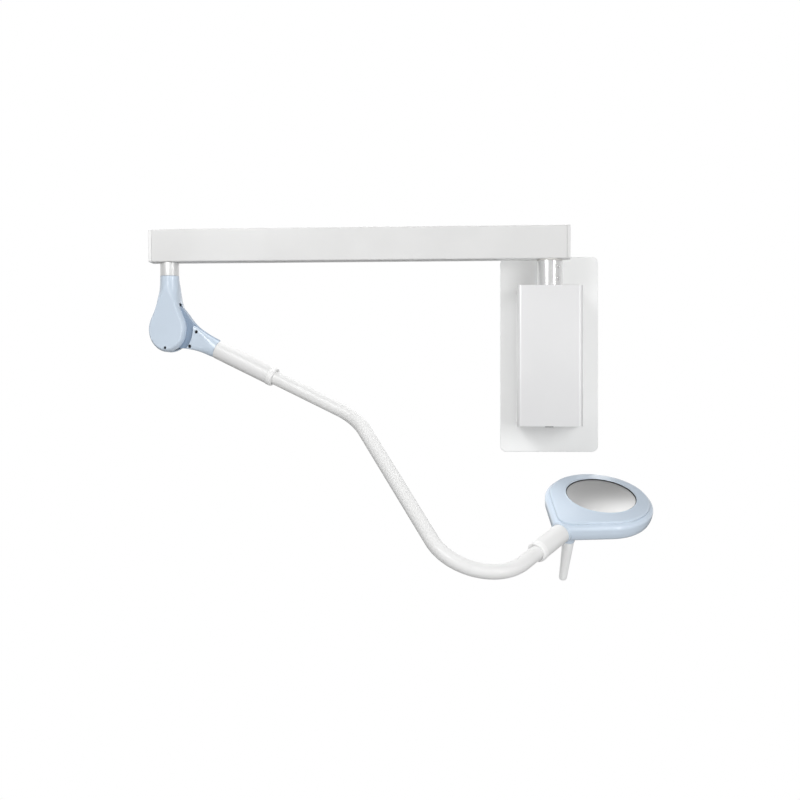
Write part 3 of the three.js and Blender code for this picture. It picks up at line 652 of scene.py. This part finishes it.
def knuckle_group():
    body = "knuckle"
    gap = TONGUE + 0.3
    tongue_slot = slab([(0, 0), (-24, -80), (110, -80), (110, 53), (5, 53), (5, 30)], -gap, gap, 0.01,
                       lambda x, z, y: (x, y, z), 1)
    x, z, sunk = DROP_SCREW["x"], DROP_SCREW["z"], DROP_SCREW["sunk"]
    for half, side in (("front", -1), ("back", 1)):
        face = DROP[half]
        shell = mesh(f"knuckle_{half}", *drop_shell(side), KNUCKLE, "blue_plastic", body,
                     [f"drop_cover_{half}"], sharp=50, weld=0.02)
        a, b = sorted((side * (face - 1.3), side * (face + 4)))
        cut(shell, (*tongue_slot, KNUCKLE), (*rod(DROP_SCREW["hole"], a, b, "y", (x, 0, z), 40), KNUCKLE))
        dress(shell, "blue_plastic", sharp=50)
        place = facing(x, side * (face - sunk), z, (0, side, 0), KNUCKLE)
        screw(f"knuckle_{half}_screw", DROP_SCREW["head"], DROP_SCREW["height"], place, "dark_steel", body,
              [f"drop_screw_{half}"], DROP_SCREW["shank"])
    low, shoulder, top = PIVOT_Z + 67, PIVOT_Z + DROP["top"] + 0.3, 187.1
    stub = [(0, low), (13, low), (13, shoulder), (19, shoulder), (19, top), (13, top), (13, 242), (0, 242)]
    mesh("knuckle_stub", *lathe(stub, 128, r=0.6, at=(KNUCKLE_X, SHAFT_Y, 0)), WORLD, "satin_steel", body,
         ["knuckle_spindle"])


# ---------- pitching arm ----------
# sections of the cone along the arm: its upper and lower edge, half its width, and how square it is
CONE = dict(x=[48, 60, 72, 86, 100, 114],
            top=[23.5, 22.6, 20.8, 19.4, 18.9, 18.8],
            low=[-27.5, -24.6, -21.6, -19.6, -18.9, -18.8],
            wide=[12.8, 13.2, 14.4, 16.2, 17.9, 18.8],
            power=[7, 6, 5, 3.4, 2.4, 2])


def smooth(xs, ys, n=60):
    """A smooth line through a few stations, for the cone's sections."""
    xs, ys = np.array(xs, float), np.array(ys, float)
    m = np.gradient(ys, xs)
    out_x, out_y = [], []
    for i in range(len(xs) - 1):
        h = xs[i + 1] - xs[i]
        for t in np.linspace(0, 1, n // len(xs), endpoint=False):
            out_x.append(xs[i] + h * t)
            out_y.append((2 * t ** 3 - 3 * t ** 2 + 1) * ys[i] + (t ** 3 - 2 * t ** 2 + t) * h * m[i]
                         + (3 * t ** 2 - 2 * t ** 3) * ys[i + 1] + (t ** 3 - t ** 2) * h * m[i + 1])
    return out_x + [xs[-1]], out_y + [ys[-1]]


def arm_tongue(body):
    turns = [math.radians(t) for t in np.linspace(99, 310, 60)]
    hub = [(38 * math.cos(t), 38 * math.sin(t) - LIFT) for t in turns]
    low = [(38, -32), (49, -27.6), (60, -24.2), (72, -21), (86, -19.2), (98, -18.5), (112, -18.2)]
    top = [(112, 18.2), (98, 18.6), (80, 19.6), (65, 21.6), (49, 26), (36, 31.8), (26, 37.2), (19, 40.6),
           (11, 44), (3, 46), (-6, 46.2)]
    outline = [tuple(p) for p in soften(hub + low + top, 5, 4, closed=True)]
    plate = slab(outline, -7, 7, 1.0, lambda x, z, y: (x, y, z))
    plug = lathe([(0, 100), (16.3, 100), (16.3, 140), (0, 140)], 64, "x")
    # the tongue takes the darkened blue: painted shade of the recess between the covers
    mesh("arm_tongue", *joined(plate, plug), ARM, "blue_paint", body, ["arm_hub"])


def cone_half(side):
    """One cone cover as a solid of superellipse sections, flat where the tongue passes."""
    rows, steps = [], 44
    lines = [smooth(CONE["x"], CONE[part]) for part in ("top", "low", "wide", "power")]
    for x in np.linspace(46, 114, 44):
        hi, lo, w, e = (float(np.interp(x, *line)) for line in lines)
        mid, half = (hi + lo) / 2, (hi - lo) / 2
        a0 = math.asin(min(1, (TONGUE / w)) ** (e / 2))
        row = []
        for a in np.linspace(QUARTER - a0, -(QUARTER - a0), steps):
            c, s = math.cos(a), math.sin(a)
            row.append([x, side * max(w * abs(c) ** (2 / e), TONGUE),
                        mid + half * math.copysign(abs(s) ** (2 / e), s)])
        row[0][1] = row[-1][1] = side * TONGUE
        rows.append(row)
    faces = strip_faces(len(rows), steps)
    for k in (0, len(rows) - 1):
        ring = [k * steps + i for i in range(steps)]
        faces += [(ring[i], ring[i + 1], ring[-2 - i], ring[-1 - i]) for i in range(steps // 2 - 1)]
    return [tuple(p) for row in rows for p in row], faces


def cone_covers(body):
    sleeve_seat = lathe([(0, 103.5), (SLEEVE["ri"], 103.5), (SLEEVE["ri"], 120), (0, 120)], 64, "x")
    knuckle_gap = rod(57.5, -40, 40, "y", (0, 0, -LIFT), 160)
    for half, side in (("front", -1), ("back", 1)):
        cone = mesh(f"cone_{half}", *cone_half(side), ARM, "blue_plastic", body, [f"cone_cover_{half}"],
                    sharp=35)
        cut(cone, (*sleeve_seat, ARM), (*knuckle_gap, ARM))
        if half == "front":
            for which in ("upper", "lower"):
                (x, z), seat = CONE_SCREW[which], CONE_SCREW["seat"]
                cut(cone, (*rod(CONE_SCREW["hole"], -30, seat + 0.3, "y", (x, 0, z), 40), ARM))
                screw(f"cone_bolt_{which}", CONE_SCREW["head"], CONE_SCREW["height"],
                      facing(x, seat, z, (0, -1, 0), ARM), "dark_steel", body, [f"cone_screw_{which}"],
                      CONE_SCREW["shank"])
        dress(cone, "blue_plastic", sharp=35)


def sleeve(name, node, x0, x1, matrix, body):
    inner, outer = SLEEVE["ri"], SLEEVE["ro"]
    mesh(name, *lathe([(inner, x0), (outer, x0), (outer, x1), (inner, x1)], 128, "x", r=0.7), matrix,
         "white_paint", body, [node])


def collar(name, node, x, k, matrix, body):
    """A sleeve's end ring with its groove, from x towards the side k."""
    pts = [(14.4, 0), (19.2, 0), (19.5, 0.3), (19.5, 3.4), (19.1, 3.8), (19.1, 4.6), (19.5, 5), (19.5, 8.6),
           (18.6, 10.9), (17, 11.7), (14.8, 11.7), (14.4, 11.3)]
    mesh(name, *lathe([(r, x + k * h) for r, h in pts], 128, "x"), matrix, "white_plastic", body, [node])


def arm_group():
    body = "pitch_arm"
    arm_tongue(body)
    cone_covers(body)
    sleeve("arm_sleeve_tube", "arm_sleeve", SLEEVE["x0"], SLEEVE["x1"], ARM, body)
    collar("arm_collar", "arm_sleeve_ring", 238.3, 1, ARM, body)


# ---------- curved tube ----------
def tube_path():
    """Straight, bend, straight, bend, straight, with a slight twist between the two bends' planes."""
    roll = math.radians(TUBE["roll"])
    normal = (ARM.to_3x3() @ Vector((0, -math.cos(roll), -math.sin(roll)))).normalized()
    d, at = along.copy(), arm_at + along * TUBE["l1"]
    path = [arm_at + along * x for x in np.linspace(TUBE["x0"], TUBE["l1"], 12)]
    for deg, r, steps, run in ((TUBE["b1"], TUBE["r1"], 26, TUBE["l2"]),
                               (TUBE["b2"], TUBE["r2"], 64, TUBE["l3"] + TUBE["into_neck"])):
        centre = at + normal.cross(d) * r * math.copysign(1, deg)
        arm = at - centre
        for i in range(1, steps + 1):
            path.append(centre + Matrix.Rotation(math.radians(deg) * i / steps, 3, normal) @ arm)
        at = path[-1]
        d = Matrix.Rotation(math.radians(deg), 3, normal) @ d
        for t in np.linspace(0, 1, 9)[1:]:
            path.append(at + d * run * t)
        at = path[-1]
        normal = Matrix.Rotation(math.radians(TUBE["twist"]), 3, d) @ normal
    return path


def tube_group():
    mesh("bent_tube", *sweep(tube_path(), TUBE["ro"], TUBE["ri"]), WORLD, "white_paint", "tube",
         ["curved_tube"])


# ---------- head ----------
def head_line(offset, n_big=120, n_tip=30):
    """The head's outline: a big arc, a small one at the neck, and the two straight sides between them."""
    R, r = HEAD["r"] + offset, HEAD["tip"] + offset
    tip_x = HEAD["off"] - HEAD["a"]
    t = math.pi - math.acos((HEAD["r"] - HEAD["tip"]) / HEAD["a"])
    big = [(HEAD["off"] + R * math.cos(a), R * math.sin(a)) for a in np.linspace(-t, t, n_big)]
    tip = [(tip_x + r * math.cos(a), r * math.sin(a)) for a in np.linspace(t, 2 * math.pi - t, n_tip)]

    def side(p, q):
        return [(p[0] + (q[0] - p[0]) * u, p[1] + (q[1] - p[1]) * u) for u in np.linspace(0, 1, 10)[1:-1]]

    return big + side(big[-1], tip[0]) + tip + side(tip[-1], big[0])


def head_ring(offset, z):
    return [(x, y, z) for x, y in head_line(offset)]


def head_stack(rows):
    """A closed solid from rows of (height, offset of the head's outline)."""
    rings = [head_ring(offset, z) for z, offset in rows]
    n = len(rings[0])
    verts = [v for ring in rings for v in ring]
    faces = strip_faces(len(rings), n)
    faces.append(list(range(n))[::-1])
    faces.append(list(range(len(verts) - n, len(verts))))
    return verts, faces


def head_housing(body):
    side = [(-40.5, -4), (-39.9, -0.6), (-35.3, 4.1), (-26, 7.2), (-14.5, 8.2), (-9.8, 5.6), (-6.9, 0.4),
            (-6.9, -0.4)]
    bowl = mesh("head_bowl", *head_stack([tuple(p) for p in soften(side, 3.5, 5)]), HEAD_FRAME,
                "blue_plastic", body, ["head_housing"], sharp=40)
    hollow = head_stack([(-38, -3), (-34.3, 1.4), (-25.5, 4.6), (-14, 5.4), (-5, -2.5)])
    neck_hole = rod(NECK_BORE, -80, NECK_DEPTH, "x", n=96)
    window_hole, button_hole = rod(71, -60, -30, n=128), rod(5, -50, -30, at=(BUTTON_X, 0, 0))
    cut(bowl, (*hollow, HEAD_FRAME), (*neck_hole, NECK), (*window_hole, HEAD_FRAME),
        (*button_hole, HEAD_FRAME))
    dress(bowl, "blue_plastic", sharp=40)

    socket = [(5, 31), (20.2, 31), (20.7, 31.8), (20.7, 48), (5, 48)]
    neck = mesh("neck_socket", *lathe(socket, 96, "x"), NECK, "blue_plastic", body, sharp=40)
    above_lid = [(x, y, z) for x in (-400, 400) for y in (-400, 400) for z in (-7.0, 60)]
    cube = [(0, 1, 3, 2), (4, 6, 7, 5), (0, 4, 5, 1), (2, 3, 7, 6), (0, 2, 6, 4), (1, 5, 7, 3)]
    cut(neck, (above_lid, cube, HEAD_FRAME), (*rod(NECK_BORE, 0, NECK_DEPTH, "x", n=96), NECK))
    dress(neck, "blue_plastic", sharp=40)


def head_lid(body):
    """The top cover: a rolled edge, then a crowned face from the head's outline to the dish's circle."""
    edge_rows = [(-6.6, -0.7), (-4.2, -0.7), (-3.1, -1.05), (-2.4, -1.8), (-2.0, -2.9), (-1.8, -4.4)]
    rings = [head_ring(offset, z) for z, offset in edge_rows]
    edge = np.array(head_line(edge_rows[-1][1]))
    hole = np.array([(math.cos(a), math.sin(a)) for a in (math.atan2(y, x) for x, y in edge)])
    rim = HEAD["dish"] + 2.2
    for u in (0.2, 0.4, 0.6, 0.8, 1.0):
        crown = -1.8 + 1.4 * math.sin(u * QUARTER)
        rings.append([(x, y, crown) for x, y in edge * (1 - u) + hole * rim * u])
    for out, z in ((-0.5, -0.05), (-1.2, 0.15), (-1.7, -0.1), (-1.8, -3), (-1.8, -6), (1.5, -6), (1.5, -4.2)):
        rings.append([(x * (rim + out), y * (rim + out), z) for x, y in hole])
    rings += [head_ring(-3.4, -4.2), head_ring(-3.4, -6.6)]
    faces = strip_faces(len(rings), len(edge), closed_rows=True)
    mesh("head_lid", [v for ring in rings for v in ring], faces, HEAD_FRAME, "blue_plastic", body,
         ["head_cover"], sharp=40)


def dish(body):
    bowl = [(r, -10.6 + 8.0 * (r / 66) ** 2) for r in np.linspace(0, 66, 30)]
    under = [(0, -18.1), (30, -18.1), (30, -13.6), (44, -11.6), (57, -8.5), (64, -6), (66.8, -6),
             (66.8, -2.6)]
    mesh("dish_silver", *lathe(under + bowl[::-1], 160, r=0.4), HEAD_FRAME, "dish_silver", body, ["dish"],
         sharp=40)
    # a dark ring round the dish: painted shade, standing in for the shade inside the gap between the dish and
    # the lid's hole
    shade_ring = [(66.8, -6), (67.7, -6), (67.7, -0.5), (66.8, -0.9)]
    mesh("dish_shade_ring", *lathe(shade_ring, 160, r=0.15), HEAD_FRAME, "rubber", body)


def lamp_side(body):
    """Lenses, lamp board and window of the side that lights the table."""
    lenses = [lathe([(0, -23.4), (62, -23.4), (62, -20.3), (0, -20.3)])]
    bulge = [(11 * math.sin(t), -22.6 - 5.4 * math.cos(t)) for t in np.linspace(0.15, QUARTER, 10)]
    sixth = math.pi / 3
    for cx, cy in [(0, 0)] + [(38 * math.cos(k * sixth), 38 * math.sin(k * sixth)) for k in range(1, 7)]:
        lenses.append(lathe([(0, -28)] + bulge + [(0, -22.6)], 40, r=0.05, seg=1, at=(cx, cy, 0)))
    mesh("lens_plate", *joined(*lenses), HEAD_FRAME, "clear", body, ["lens_array"])
    board = [(0, -20), (60, -20), (60, -18.4), (0, -18.4)]
    mesh("lamp_board", *lathe(board, r=0.2), HEAD_FRAME, "board_white", body, ["led_board"])
    pane = [(0, -40.4), (70.6, -40.4), (70.6, -37.7), (74, -37.7), (74, -35.7), (0, -35.7)]
    mesh("window", *lathe(pane, 128, r=0.4), HEAD_FRAME, "clear", body, ["light_window"])


def handle_socket(body):
    socket = [(6.3, -57), (11.5, -57), (11.9, -56.4), (11.9, -46.5), (12.5, -43.5), (14.4, -41),
              (15.2, -39.7), (6.3, -39.7)]
    mesh("handle_socket", *lathe(socket, at=(HANDLE_X, 0, 0)), HEAD_FRAME, "blue_plastic", body)


def handle_and_button(body):
    grip = [(0, -142.4), (4, -142.1), (6.3, -140.8), (7.4, -138.4), (7.7, -135.5), (10.9, -63), (10.9, -61.6),
            (10.4, -61.2), (10.4, -60.4), (11.2, -60), (11.2, -57.6), (10.9, -57.3), (6, -57.3), (6, -48),
            (0, -48)]
    mesh("handle_grip", *lathe(grip, r=0.6, at=(HANDLE_X, 0, 0)), HEAD_FRAME, "handle_grey", body, ["handle"])
    cap = [(0, -42.2), (3, -42.25), (3.9, -42), (4.7, -41.2), (4.7, -37.7), (6, -37.7), (6, -36.1),
           (0, -36.1)]
    mesh("switch_cap", *lathe(cap, 64, r=0.4, at=(BUTTON_X, 0, 0)), HEAD_FRAME, "button_blue", "button",
         ["switch_button"])


def head_group():
    body = "head"
    head_housing(body)
    handle_socket(body)
    head_lid(body)
    dish(body)
    lamp_side(body)
    handle_and_button(body)
    sleeve("head_sleeve_tube", "head_sleeve", -38, 33, NECK, body)
    collar("head_collar", "head_sleeve_ring", -38.3, -1, NECK, body)


# ---------- studio ----------
CAMERA = dict(at=(-0.0541, -2.8998, -0.0935), yaw=5, sensor=36, lens=63, near=0.05, far=60)
FLOOR = dict(z=-1.5, half=14, grey=0.4)            # metres here, as for the camera's place and the lamps


def split_by_camera_ray(n, l, unseen, seen, output):
    """Joins two shaders: one for the camera, the other for all the light that the object gets."""
    path, mix = n.new("ShaderNodeLightPath"), n.new("ShaderNodeMixShader")
    l.new(path.outputs["Is Camera Ray"], mix.inputs[0])
    l.new(unseen.outputs[0], mix.inputs[1])
    l.new(seen.outputs[0], mix.inputs[2])
    l.new(mix.outputs[0], output.inputs["Surface"])


def world():
    """White to the camera; to the object, a studio that is brightest at eye level and behind it."""
    room = bpy.data.worlds.new("studio")
    bpy.context.scene.world = room
    room.use_nodes = True
    n, l = room.node_tree.nodes, room.node_tree.links
    soft, seen = n["Background"], n.new("ShaderNodeBackground")
    seen.inputs["Color"].default_value, seen.inputs["Strength"].default_value = (1, 1, 1, 1), 1.0
    sky, split = n.new("ShaderNodeTexCoord"), n.new("ShaderNodeSeparateXYZ")
    l.new(sky.outputs["Generated"], split.inputs[0])
    for axis, greys, socket in (("Z", ((0.0, 0.36), (0.5, 0.95), (0.7, 0.66), (1.0, 0.2)), "Color"),
                                ("Y", ((0.0, 0.72), (0.45, 0.55), (0.6, 0.75), (1.0, 1.0)), "Strength")):
        lift, ramp = map_range(n, source=(-1, 1)), ramp_of(n, [(where, (grey,) * 3) for where, grey in greys])
        l.new(split.outputs[axis], lift.inputs["Value"])
        l.new(lift.outputs["Result"], ramp.inputs["Fac"])
        l.new(ramp.outputs["Color"], soft.inputs[socket])
    split_by_camera_ray(n, l, soft, seen, n["World Output"])


def floor():
    """A floor that reflects soft light but looks as white as the world."""
    bm = bmesh.new()
    bmesh.ops.create_grid(bm, x_segments=24, y_segments=24, size=FLOOR["half"])
    me = bpy.data.meshes.new("floor")
    bm.to_mesh(me)
    bm.free()
    pale, n, l, bsdf, _ = nodes_of("pale_floor")
    bsdf.inputs["Base Color"].default_value = (FLOOR["grey"],) * 3 + (1,)
    bsdf.inputs["Roughness"].default_value = 0.9
    bright = n.new("ShaderNodeEmission")
    bright.inputs["Color"].default_value, bright.inputs["Strength"].default_value = (1, 1, 1, 1), 1.0
    split_by_camera_ray(n, l, bsdf, bright, n["Material Output"])
    pale.cycles.emission_sampling = "NONE"          # only seen by the camera: it lights nothing
    me.materials.append(pale)
    put("floor", me, (0, 0, FLOOR["z"]))


def lamp(name, at, target, size, power, glossy=True, diffuse=True):
    data = bpy.data.lights.new(name, "AREA")
    data.shape, data.size, data.size_y, data.energy = "RECTANGLE", size[0], size[1], power
    obj = put(name, data, at)
    obj.visible_glossy, obj.visible_diffuse = glossy, diffuse
    obj.rotation_euler = (Vector(target) - Vector(at)).to_track_quat("-Z", "Y").to_euler()


def lamps():
    lamp("key", (-1.6, -2.8, 1.9), (-0.3, 0, 0), (1.4, 1.4), 37)
    lamp("top", (-1.3, 0.9, 2.0), (-0.1, -0.2, -0.2), (1.2, 0.8), 70, glossy=False)
    lamp("fill", (1.6, -3.2, 0.2), (0.0, 0, 0), (1.8, 1.8), 52, glossy=False)
    lamp("low", (0.3, -2.6, -1.3), (0.05, -0.2, -0.3), (1.2, 0.6), 4, glossy=False)
    lamp("left strip", (-1.2, -2.7, 0.2), (0, -0.1, 0), (0.3, 2.4), 12, diffuse=False)
    lamp("right strip", (1.9, -2.2, 0.2), (0, -0.1, 0), (0.3, 2.4), 12, diffuse=False)
    lamp("glow", (0.17, 1.9, 1.25), (0.1, -0.2, -0.28), (0.7, 1.5), 4.2, diffuse=False)


def camera():
    data = bpy.data.cameras.new("camera")
    data.sensor_width, data.lens = CAMERA["sensor"], CAMERA["lens"]
    data.clip_start, data.clip_end = CAMERA["near"], CAMERA["far"]
    obj = put("camera", data, CAMERA["at"])
    obj.rotation_euler = (QUARTER, 0, math.radians(CAMERA["yaw"]))
    bpy.context.scene.camera = obj
    bpy.context.scene.view_settings.view_transform = "Standard"


wall_group()
beam_group()
knuckle_group()
arm_group()
tube_group()
head_group()
FINISH = {s["node"]: s["material_slot"] for s in frame["record"]["subparts"]}
for node, obj in frame["nodes"].items():
    obj.data.materials.clear()
    obj.data.materials.append(MAT[FINISH[node]])
world()
floor()
lamps()
camera()
